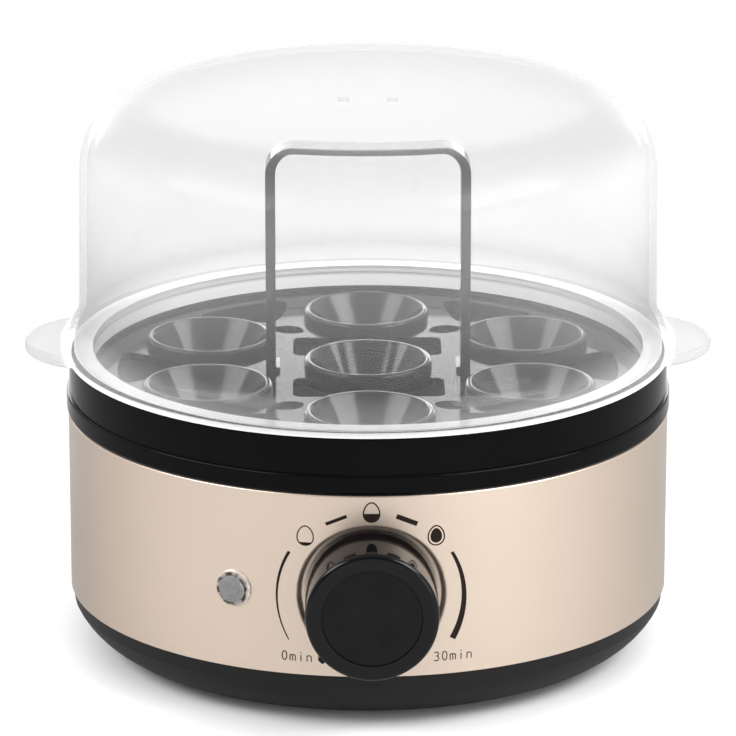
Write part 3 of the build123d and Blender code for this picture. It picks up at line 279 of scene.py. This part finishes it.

# %% [markdown]
# The lid is one clear moulding with a thin wall. True glass would need many light paths and hides
# the lamps from what is inside, and a wall this thin hardly bends what is behind it. So the lid
# lets light straight through by its Alpha, which rises towards the outline as a real wall's gloss
# does. A faint milkiness, fine scuffs and slow waves in the wall keep it from looking like air.
#
# The finish goes by zones of height in millimetres above the lid's lowest point. The zones' tones
# are painted light and shade, each set to the brightness that zone shows under the lamps. The
# locating lip and the short upright edge are painted whitest and most opaque, for they are seen
# along their wall. The foot above them is painted milky, the upper wall pale and the flat crown
# greyer, to offset the lamp's reflection on it. The lugs are lighter, more opaque and rougher, and
# are found by their radius.


# %% Clear lid
def clear_plastic(name, haze, rim):
    clear = Finish(name)
    x, y, z = clear.axes()
    height = (z - lid_low.z) / MM
    lug = ((x * x + y * y) ** 0.5).smooth(83.2 * MM, 84.2 * MM)
    lip = 1 - height.smooth(2.8, 4.4)
    edge = height.smooth(3.9, 4.3) * (1 - height.smooth(5.6, 6.2)) * (1 - lug)
    foot = (1 - height.smooth(6.0, 17.0)) * (1 - lug)
    upper = height.smooth(15, 50)
    crown = height.smooth(60, 73)
    waves = clear.noise(30, 2)
    scuffs = clear.noise(420, 4, clear.moved(scale=(1, 1, 0.25))).smooth(0.60, 0.80)
    # Painted light and shade: the lip, edge, foot, upper and crown terms raise or lower the
    # colour's brightness, and the lip and edge terms also raise the Alpha.
    tone = 0.30 + 0.30 * foot + 0.06 * waves + 0.38 * upper + 0.22 * edge + 0.40 * lip
    tone = tone + 0.18 * lug - 0.36 * crown
    veil = rim * clear.facing(0.28) * (1 - 0.4 * crown + 0.7 * foot)
    alpha = haze + 0.03 * scuffs + veil + 0.03 * foot + 0.45 * edge + 0.75 * lip + 0.28 * lug
    return clear.surface({
        "Base Color": clear.mix((0, 0, 0), (0.990, 0.995, 1.0), tone),
        "Roughness": 0.05 + 0.10 * scuffs + 0.40 * lug + 0.30 * crown,
        "IOR": 1.58,
        "Alpha": alpha,
        "Normal": clear.bump(waves, 0.03 * MM),
    })


lid_clear = clear_plastic("clear_lid", 0.085, 0.40)

# %% [markdown]
# The inner parts show only when the tray is lifted or through the vents, but each has the finish
# it would have: zinc on pressed steel, brass contacts, white ceramic, a heater browned by use.


# %% Plain metals
def bare_metal(name, dark, light, rough, streak=(1, 1, 1), scale=700):
    metal = Finish(name)
    drawn = metal.noise(scale, 4, metal.moved(scale=streak))
    cloud = metal.noise(60, 3)
    return metal.surface({
        "Base Color": metal.mix(dark, light, 0.5 * drawn + 0.5 * cloud),
        "Metallic": 1.0,
        "Roughness": rough + 0.12 * cloud + 0.06 * drawn,
        "Normal": metal.bump(drawn, 0.004 * MM),
    })


zinc = bare_metal("zinc_steel", (0.50, 0.51, 0.52), (0.70, 0.71, 0.71), 0.24, (1, 1, 0.15))
brass = bare_metal("stamped_brass", (0.62, 0.44, 0.17), (0.86, 0.68, 0.36), 0.20, (1, 0.2, 1))
bell_plate = bare_metal("plated_bell", (0.62, 0.62, 0.63), (0.80, 0.80, 0.81), 0.10)
fuse_can = bare_metal("fuse_can", (0.62, 0.61, 0.58), (0.82, 0.81, 0.79), 0.28)
black_steel = bare_metal("black_steel", (0.03, 0.03, 0.03), (0.07, 0.07, 0.07), 0.30)
sheath = bare_metal("heater_sheath", (0.15, 0.12, 0.09), (0.42, 0.36, 0.28), 0.36, scale=180)


# %% Coated pan
def pan_coating():
    coat = Finish("pan_coating")
    specks = coat.noise(2400, 2).smooth(0.62, 0.70)
    cloud = coat.noise(45, 4)
    pale = specks * 0.55 + cloud * 0.15
    return coat.surface({
        "Base Color": coat.mix((0.050, 0.050, 0.053), (0.20, 0.20, 0.21), pale),
        "Metallic": 0.45,
        "Roughness": 0.34 + 0.14 * cloud,
        "Normal": coat.bump(coat.noise(1600, 3), 0.012 * MM),
    })


pan_dark = pan_coating()


# %% Plain plastics, rubber and ceramic
def plain(name, dark, light, rough, grain_scale=1800, relief=0.01 * MM):
    stuff = Finish(name)
    cloud = stuff.noise(70, 3)
    grain = stuff.noise(grain_scale, 3)
    return stuff.surface({
        "Base Color": stuff.mix(dark, light, 0.6 * cloud + 0.4 * grain),
        "Roughness": rough + 0.10 * grain,
        "Normal": stuff.bump(grain, relief),
    })


rubber = plain("black_rubber", (0.012, 0.012, 0.012), (0.028, 0.028, 0.028), 0.62, 1500, 0.02 * MM)
silicone = plain("white_silicone", (0.60, 0.58, 0.54), (0.74, 0.72, 0.68), 0.45)
ceramic = plain("white_ceramic", (0.72, 0.69, 0.62), (0.88, 0.86, 0.80), 0.52, 2600)
white_plastic = plain("white_plastic", (0.70, 0.70, 0.67), (0.82, 0.82, 0.79), 0.34)
grey_plastic = plain("grey_plastic", (0.25, 0.26, 0.27), (0.36, 0.37, 0.38), 0.40)


# %% Woven sleeve of the inner leads
def woven_sleeve():
    sleeve = Finish("woven_sleeve")
    x, y, z = sleeve.axes()
    strand = 2 * math.pi / (0.55 * MM)
    weave = ((x + y + z) * strand).sin() * ((x - y - z) * strand).sin()
    grain = sleeve.noise(3000, 2)
    pale = 0.5 + 0.35 * weave + 0.2 * (grain - 0.5)
    return sleeve.surface({
        "Base Color": sleeve.mix((0.50, 0.48, 0.43), (0.78, 0.76, 0.71), pale),
        "Roughness": 0.66 + 0.10 * weave,
        "Normal": sleeve.bump(weave, 0.04 * MM),
    })


sleeve_pale = woven_sleeve()

# %% [markdown]
# Each CAD part takes its finish in its own material slot, so its mesh stays as it is.

# %% Finishes on the CAD parts
finishes = {
    "lid": lid_clear,
    "egg_tray": black_gloss,
    "egg_cups": cup_gloss,
    "tray_handle": bright_gloss,
    "housing_collar": black_gloss,
    "housing_band": band_paint,
    "base_shell": black_satin,
    "foot_ring": rubber,
    "cord_gland": rubber,
    "timer_knob": bright_gloss,
    "knob_cap": disc_black,
    "heating_pan": pan_dark,
    "pan_gasket": silicone,
    "heating_element": sheath,
    "element_insulators": ceramic,
    "thermostat": ceramic,
    "thermal_fuse": fuse_can,
    "timer_bell": bell_plate,
    "timer_case": grey_plastic,
    "timer_cam": white_plastic,
    "terminal_block": white_plastic,
    "timer_screws": black_steel,
    "inner_leads": sleeve_pale,
}
for name in ("element_tabs", "shaft_bush", "timer_contacts", "spring_barrel"):
    finishes[name] = brass
for name in sorted(set(nodes) - set(finishes)):
    finishes[name] = zinc
for name, material in finishes.items():
    nodes[name].material_slots[0].material = material
print("finished parts:", len(finishes))

# %% [markdown]
# New pieces are surfaces worked out with numpy. A surface is a grid of points: rows run one way,
# columns the other, and neighbours are joined by four-sided faces.


# %% From grids of points to a piece
def piece_from_grids(name, grids, material, body):
    """Join grids into one piece. A grid is (points, rows_wrap, columns_wrap), where points has
    the shape rows x columns x 3. A face joins points (i, j), (i + 1, j), (i + 1, j + 1) and
    (i, j + 1), and a wrap also joins the last row or column with the first."""
    corners, faces, first = [], [], 0
    for points, rows_wrap, columns_wrap in grids:
        rows, columns = points.shape[:2]
        i, j = np.meshgrid(
            np.arange(rows if rows_wrap else rows - 1),
            np.arange(columns if columns_wrap else columns - 1),
            indexing="ij",
        )
        ahead, beside = (i + 1) % rows, (j + 1) % columns
        near, far = i * columns, ahead * columns
        quads = np.stack([near + j, far + j, far + beside, near + beside], -1)
        corners.append(points.reshape(-1, 3))
        faces.append(quads.reshape(-1, 4) + first)
        first += rows * columns
    mesh = bpy.data.meshes.new(name)
    mesh.from_pydata(np.concatenate(corners).tolist(), [], np.concatenate(faces).tolist())
    mesh.materials.append(material)
    piece = bpy.data.objects.new(name, mesh)
    bpy.context.scene.collection.objects.link(piece)
    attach(piece, body)
    print(name, "faces:", len(mesh.polygons))
    return piece


# %% [markdown]
# The dial's marks are printed on the band. Every mark is a ribbon of ink: a path in the flat of
# the drawing with a half width at each point, wrapped round the band. A line, a tapering arc, a
# letter's stroke and even a filled egg (a vertical path as wide as the egg) are all ribbons. A
# drawing's lengths are in millimetres from the dial's axis.


# %% A ribbon of ink on the band
def on_band(x, z, lift):
    """Wrap points on the band: y is minus the root of (radius + lift) squared less x squared."""
    return np.stack([x, -np.sqrt((band_radius + lift) ** 2 - x**2), z], -1)


def ribbon(path, half_width, closed=False, ink=0.03 * MM):
    """A tube of four corners round the path: two at the ink's face and two just under the paint.
    Its ends are drawn in to their middle, unless the path itself is closed."""
    path = np.asarray(path, float) * MM
    half = np.broadcast_to(np.asarray(half_width, float) * MM, len(path))
    if closed:
        along = np.roll(path, -1, 0) - np.roll(path, 1, 0)
    else:
        along = np.gradient(path, axis=0)
    along = along / np.linalg.norm(along, axis=1, keepdims=True)
    side = np.stack([-along[:, 1], along[:, 0]], -1) * half[:, None]
    left, right = path + side, path - side
    corners = [(left, -ink), (left, ink), (right, ink), (right, -ink)]
    tube = np.stack([on_band(p[:, 0], p[:, 1] + dial_height, lift) for p, lift in corners], 1)
    if not closed:
        middle = tube.mean(1, keepdims=True)
        tube = np.concatenate([np.repeat(middle[:1], 4, 1), tube, np.repeat(middle[-1:], 4, 1)])
    return tube, closed, True


# %% [markdown]
# The scale runs clockwise from 0 to 30 minutes and grows thicker with time, with three eggs: soft,
# medium and hard. An egg's outline is a circle squeezed towards its top. The arcs and dashes are
# drawn round a point just below the dial's axis.


# %% The scale's arcs, dashes and eggs
def arc(radius, start, stop, points=48):
    """Points on a circle round the dial's centre, by degrees clockwise from the top."""
    angle = np.radians(np.linspace(start, stop, points))
    return np.stack([radius * np.sin(angle), radius * np.cos(angle)], -1)


def egg_outline(x, z, width, height, points=64):
    """Across: width / 2 times sin t times (1 - 0.16 cos t). Up: height / 2 times cos t."""
    t = np.linspace(0, 2 * np.pi, points, endpoint=False)
    across = width / 2 * np.sin(t) * (1 - 0.16 * np.cos(t))
    return np.stack([x + across, z + height / 2 * np.cos(t)], -1)


def egg_filling(x, z, width, height, level, points=24):
    """The lower part of an egg: a vertical path whose half width is the outline's there."""
    top = math.acos(max(-1, min(1, 2 * level - 1)))
    t = np.linspace(top, np.pi - 0.02, points)
    half = width / 2 * np.sin(t) * (1 - 0.16 * np.cos(t))
    return np.stack([np.full(points, x), z + height / 2 * np.cos(t)], -1), half


def dash(angle, radius, length):
    """A short straight mark square to the radius."""
    a = math.radians(angle)
    middle = np.array([radius * math.sin(a), radius * math.cos(a)])
    along = np.array([math.cos(a), -math.sin(a)]) * length / 2
    return np.linspace(middle - along, middle + along, 6)


drop = (0.0, 0.9)
marks = [
    ribbon(arc(24.8, -119, -60) - drop, np.linspace(0.13, 0.40, 48)),
    ribbon(arc(24.3, 60, 119) - drop, np.linspace(0.42, 0.85, 48)),
    ribbon(dash(-23, 23.6, 5.9) - drop, 0.46),
    ribbon(dash(23, 23.6, 5.9) - drop, 0.66),
]
egg_size = (4.2, 5.3)
yolk_size = (3.0, 4.0)
eggs = [  # x, z, half width of the outline, size of what is filled, how far up it is filled
    (-17.3, 16.2, 0.16, egg_size, 0.17),
    (0, 23.1, 0.18, egg_size, 0.46),
    (16.9, 16.2, 0.18, yolk_size, 1.0),
]
for x, z, outline, filled_size, level in eggs:
    marks.append(ribbon(egg_outline(x, z, *egg_size), outline, closed=True))
    path, half = egg_filling(x, z, *filled_size, level)
    marks.append(ribbon(path[1:], half[1:]))
print("marks:", len(marks))

# %% [markdown]
# The two time labels are drawn with strokes of one width, like plain engineering letters. A letter
# is a few lines and arcs in a cell 1.6 mm wide and 2.6 mm tall.


# %% Letters from strokes
def bow(x, z, rx, rz, start, stop, points=20):
    """Part of an ellipse, by degrees anticlockwise from the right."""
    angle = np.radians(np.linspace(start, stop, points))
    return np.stack([x + rx * np.cos(angle), z + rz * np.sin(angle)], -1)


def stroke(*points):
    """Straight runs through some points, with points added along each run."""
    runs = [np.linspace(a, b, 5)[:-1] for a, b in zip(points, points[1:])]
    return np.concatenate([*runs, [points[-1]]])


letters = {
    "0": [bow(0.8, 1.3, 0.60, 1.22, 90, 450, 40)],
    "3": [bow(0.74, 1.94, 0.56, 0.58, 150, -90), bow(0.74, 0.70, 0.64, 0.66, 90, -150)],
    "m": [
        stroke((0.08, 0.0), (0.08, 1.66)),
        np.concatenate([bow(0.43, 1.30, 0.35, 0.36, 180, 0), stroke((0.78, 1.2), (0.78, 0.0))]),
        np.concatenate([bow(1.13, 1.30, 0.35, 0.36, 180, 0), stroke((1.48, 1.2), (1.48, 0.0))]),
    ],
    "i": [stroke((0.8, 0.0), (0.8, 1.66)), stroke((0.8, 2.22), (0.8, 2.52))],
    "n": [
        stroke((0.24, 0.0), (0.24, 1.66)),
        np.concatenate([bow(0.80, 1.20, 0.56, 0.46, 180, 0), stroke((1.36, 1.1), (1.36, 0.0))]),
    ],
}


def write(text, x, z, pitch=2.16, cell=1.6, pen=0.13):
    """Lay the letters of a word side by side, centred on x, with their feet at z."""
    start = x - (pitch * (len(text) - 1) + cell) / 2
    for place, letter in enumerate(text):
        for path in letters[letter]:
            marks.append(ribbon(path + (start + place * pitch, z), pen))


words_foot = 20.0 - dial_height / MM  # the words stand 20 mm above the floor
write("0min", -19.6, words_foot)
write("30min", 21.4, words_foot)


# %% Ink and the printed dial
def ink_finish():
    ink = Finish("dial_ink")
    cloud = ink.noise(900, 3)
    return ink.surface({
        "Base Color": ink.mix((0.008, 0.004, 0.003), (0.018, 0.010, 0.007), cloud),
        "Roughness": 0.42 + 0.12 * cloud,
        "IOR": 1.25,
        "Normal": ink.bump(cloud, 0.003 * MM),
    })


piece_from_grids("dial_print", marks, ink_finish(), "base")

# %% [markdown]
# The indicator is a clear jewel: its middle is a field of tiny pyramids that scatters the lamp,
# and its rim is cut in facets. Its frame is set by the line from the band's axis through its
# centre.

# %% The jewel's frame
jewel_centre = (lamp_low + lamp_high) / 2
outward = np.array([jewel_centre.x, jewel_centre.y, 0.0])
outward = outward / np.linalg.norm(outward)
across = np.array([-outward[1], outward[0], 0.0])
upward = np.array([0.0, 0.0, 1.0])
seat = outward * band_radius + upward * jewel_centre.z


def on_jewel(u, v, out):
    """A point from distances across, up and out from the jewel's seat on the band."""
    return seat + u[..., None] * across + v[..., None] * upward + out[..., None] * outward


# %% [markdown]
# The pyramids are one height field on a square grid with a point at every edge and tip, on a low
# dome. Points past the lens's round edge are drawn in to it, and those well past it down to the
# rim.


# %% Pyramid lens
def pyramid_lens(radius=3.68 * MM, pitch=0.66 * MM, tall=0.32 * MM):
    edge_out, dome_tall, foot_out = 1.15 * MM, 0.55 * MM, 0.2 * MM
    steps = 2 * int(radius / pitch + 1)
    line = np.arange(-steps, steps + 1)
    i, j = np.meshgrid(line, line, indexing="ij")
    u, v = i * pitch / 2, j * pitch / 2
    tip = (i % 2 != 0) & (j % 2 != 0)
    turn = math.radians(45)
    u, v = u * math.cos(turn) - v * math.sin(turn), u * math.sin(turn) + v * math.cos(turn)
    reach = np.hypot(u, v)
    inside = reach <= radius
    shrink = np.where(inside, 1.0, radius / np.maximum(reach, radius))
    dome = dome_tall * (1 - (np.minimum(reach, radius) / radius) ** 2)
    out = edge_out + dome + np.where(tip & inside, tall, 0.0)
    out = np.where(reach > radius + pitch, foot_out, out)
    return on_jewel(u * shrink, v * shrink, out), False, False


# %% [markdown]
# The rim is a ring of a few flat faces. Carrying a short profile round the circle in steps gives
# facets, and turning every second row by half a step makes them triangular, as on a cut stone.


# %% Faceted rim
def faceted_rim(sides=14):
    """The profile's points are (radius, height above the band), from the outside in."""
    profile = [(5.14, -0.02), (5.14, 0.35), (4.7, 0.85), (4.1, 1.16), (3.70, 1.02), (3.66, 0.2)]
    profile = np.array(profile) * MM
    angle = np.linspace(0, 2 * np.pi, sides, endpoint=False)
    twist = (np.arange(len(profile)) % 2)[:, None] * np.pi / sides
    turned = angle[None, :] + twist
    u = profile[:, :1] * np.cos(turned)
    v = profile[:, :1] * np.sin(turned)
    return on_jewel(u, v, np.broadcast_to(profile[:, 1:], u.shape)), False, True


# %% [markdown]
# Clear plastic this small shows little of what is behind it, so both pieces are solid colours. The
# rim is pale at its outer edge. Near the lens its facets are painted dark and light: painted
# reflections, as cut facets mirror a dark room and bright lamps. The lens is grey.


# %% Jewel finishes
def jewel_rim_finish():
    rim = Finish("jewel_rim")
    x, y, z = rim.axes(rim.moved(tuple(-seat)))
    inner = 1 - ((x * x + y * y + z * z) ** 0.5).smooth(4.4 * MM, 5.0 * MM)
    # Painted reflections: near the lens the facets are painted dark, each by its own amount, as
    # they would mirror a dark room.
    facet = rim.noise(520, 1).smooth(0.40, 0.60)
    dark = inner * (0.45 + 0.55 * facet)
    return rim.surface({
        "Base Color": rim.mix((0.70, 0.62, 0.56), (0.05, 0.035, 0.028), dark),
        "Metallic": 0.40,
        "Roughness": 0.08 + 0.06 * facet,
    })


def jewel_lens_finish():
    lens = Finish("jewel_lens")
    cloud = lens.noise(500, 1)
    return lens.surface({
        "Base Color": lens.mix((0.20, 0.20, 0.205), (0.33, 0.33, 0.335), cloud),
        "Metallic": 0.35,
        "Roughness": 0.20 + 0.08 * cloud,
    })


rim_finish = jewel_rim_finish()
lens_finish = jewel_lens_finish()
lens_piece = piece_from_grids("jewel_lens", [pyramid_lens()], lens_finish, "base")
rim_piece = piece_from_grids("jewel_rim", [faceted_rim()], rim_finish, "base")
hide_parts("indicator_lens")
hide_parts("indicator_bezel")

# %% [markdown]
# The set is a pale floor, a white surround and soft lamps. The lamp behind the object would burn
# out a floor that ran to a horizon, so for the eye the floor fades into the white surround, and
# only the object's shadow on it is seen. Mirrors see it darker, and darkest behind the object, so
# that glossy black stays black.


# %% Floor
def floor_finish():
    pale = Finish("pale_floor")
    cloud = pale.noise(6, 3)
    x, y, _ = pale.axes()
    path = pale.node("ShaderNodeLightPath")
    mirrored = Number(pale, path.outputs["Is Glossy Ray"])
    seen = Number(pale, path.outputs["Is Camera Ray"])
    behind = y.smooth(-0.12, 0.14)
    far = ((x * x + y * y) ** 0.5).smooth(0.075, 0.24)
    dark = mirrored * (0.58 + 0.12 * behind) + 0.02 * cloud
    return pale.surface({
        "Base Color": pale.mix((0.94, 0.94, 0.94), (0.10, 0.10, 0.10), dark),
        "Roughness": 0.55 + 0.05 * cloud,
        "Alpha": 1 - seen * far,
        "Specular IOR Level": 0.2,
    })


reach = 6.0
floor_corners = [(-reach, -reach, 0), (reach, -reach, 0), (reach, reach, 0), (-reach, reach, 0)]
floor_mesh = bpy.data.meshes.new("floor")
floor_mesh.from_pydata(floor_corners, [], [(0, 1, 2, 3)])
floor_mesh.materials.append(floor_finish())
floor = bpy.data.objects.new("floor", floor_mesh)
bpy.context.scene.collection.objects.link(floor)

# %% [markdown]
# The surround is a world whose brightness depends on who looks. Mirrors see a room that grows from
# dim at the camera's side to bright behind the object, and matt surfaces get light from both
# sides.


# %% World
MATT_SIDES = (1.05, 0.45)  # brightness in front and behind, for what is matt
ROOM_SIDES = (0.22, 0.85)  # brightness in front and behind, for mirrors


def studio_world():
    """White for what the eye sees, straight or through glass, and a softer light for the rest."""
    world = bpy.data.worlds.new("studio")
    bpy.context.scene.world = world
    world.use_nodes = True
    tree = world.node_tree
    tree.nodes.clear()
    way = add_node(tree, "ShaderNodeTexCoord", {}, {}).outputs["Generated"]
    split = add_node(tree, "ShaderNodeSeparateXYZ", {}, {0: way})
    room = add_node(tree, "ShaderNodeMapRange", {"interpolation_type": "SMOOTHSTEP"}, {
        "Value": split.outputs["Y"], "From Min": -0.75, "From Max": 0.55,
        "To Min": ROOM_SIDES[0], "To Max": ROOM_SIDES[1]})
    path = add_node(tree, "ShaderNodeLightPath", {}, {})
    seen = add_node(tree, "ShaderNodeMath", {"operation": "MAXIMUM"}, {
        0: path.outputs["Is Camera Ray"], 1: path.outputs["Is Transmission Ray"]})
    matt = add_node(tree, "ShaderNodeMapRange", {}, {
        "Value": split.outputs["Y"], "From Min": -1.0,
        "To Min": MATT_SIDES[0], "To Max": MATT_SIDES[1]})
    mirrored = add_node(tree, "ShaderNodeMix", {"data_type": "FLOAT"}, {
        0: path.outputs["Is Glossy Ray"], 2: matt.outputs[0], 3: room.outputs[0]})
    strength = add_node(tree, "ShaderNodeMix", {"data_type": "FLOAT"}, {
        0: seen.outputs[0], 2: mirrored.outputs[0], 3: 1.0})
    paper = add_node(tree, "ShaderNodeBackground", {}, {
        "Color": (1, 1, 1, 1), "Strength": strength.outputs[0]})
    add_node(tree, "ShaderNodeOutputWorld", {}, {"Surface": paper.outputs[0]})


studio_world()

# %% [markdown]
# Five soft lamps model the form. The key stands to the right and the fill to the left, and both
# are wide, so the band's sheen has no hard edge. A small low one lights the band's right side. The
# front one is hidden from mirrors and lights only what is matt. The long one behind stands level
# with the object: the tray's flat plate mirrors it at a slant, while the lid's top does not.


# %% Lamps
def soft_lamp(name, place, target, size, power, mirrored=True):
    """A rectangular lamp at a place, turned towards a target. It can stay out of all mirrors."""
    light = bpy.data.lights.new(name, "AREA")
    light.shape = "RECTANGLE"
    light.size, light.size_y = size
    light.energy = power
    lamp = bpy.data.objects.new(name, light)
    bpy.context.scene.collection.objects.link(lamp)
    lamp.location = place
    aim = Vector(target) - Vector(place)
    lamp.rotation_euler = aim.to_track_quat("-Z", "Y").to_euler()
    lamp.visible_glossy = mirrored


soft_lamp("key", (1.00, -0.48, 1.05), (0, 0, 0.07), (1.25, 0.60), 17.0)
soft_lamp("fill", (-1.05, -0.44, 1.00), (0, 0, 0.07), (1.30, 0.55), 12.0)
soft_lamp("low", (0.95, -0.95, 0.28), (0, 0, 0.05), (0.9, 0.5), 3.0)
soft_lamp("front", (0, -1.3, 1.5), (0, 0, 0.0), (1.2, 0.8), 7.0, mirrored=False)
soft_lamp("back", (0, 1.5, 0.30), (0, 0, 0.30), (1.6, 0.55), 12.0)

# %% [markdown]
# The camera stands where the photograph's did: 1.42 m from the object's axis and 0.51 m up, with a
# long lens. It looks down, and stands a little to the left of straight in front.

# %% Camera
camera_data = bpy.data.cameras.new("camera")
camera = bpy.data.objects.new("camera", camera_data)
bpy.context.scene.collection.objects.link(camera)
away, up = 1.4169, 0.5123
turn, down = math.radians(0.65), math.radians(17.12)
camera.location = (-away * math.sin(turn), -away * math.cos(turn), up)
camera.rotation_euler = (math.radians(90) - down, 0, -turn)
camera_data.sensor_width = 36
camera_data.lens = 264.979
camera_data.clip_end = 50
bpy.context.scene.camera = camera
bpy.context.scene.view_settings.view_transform = "Standard"
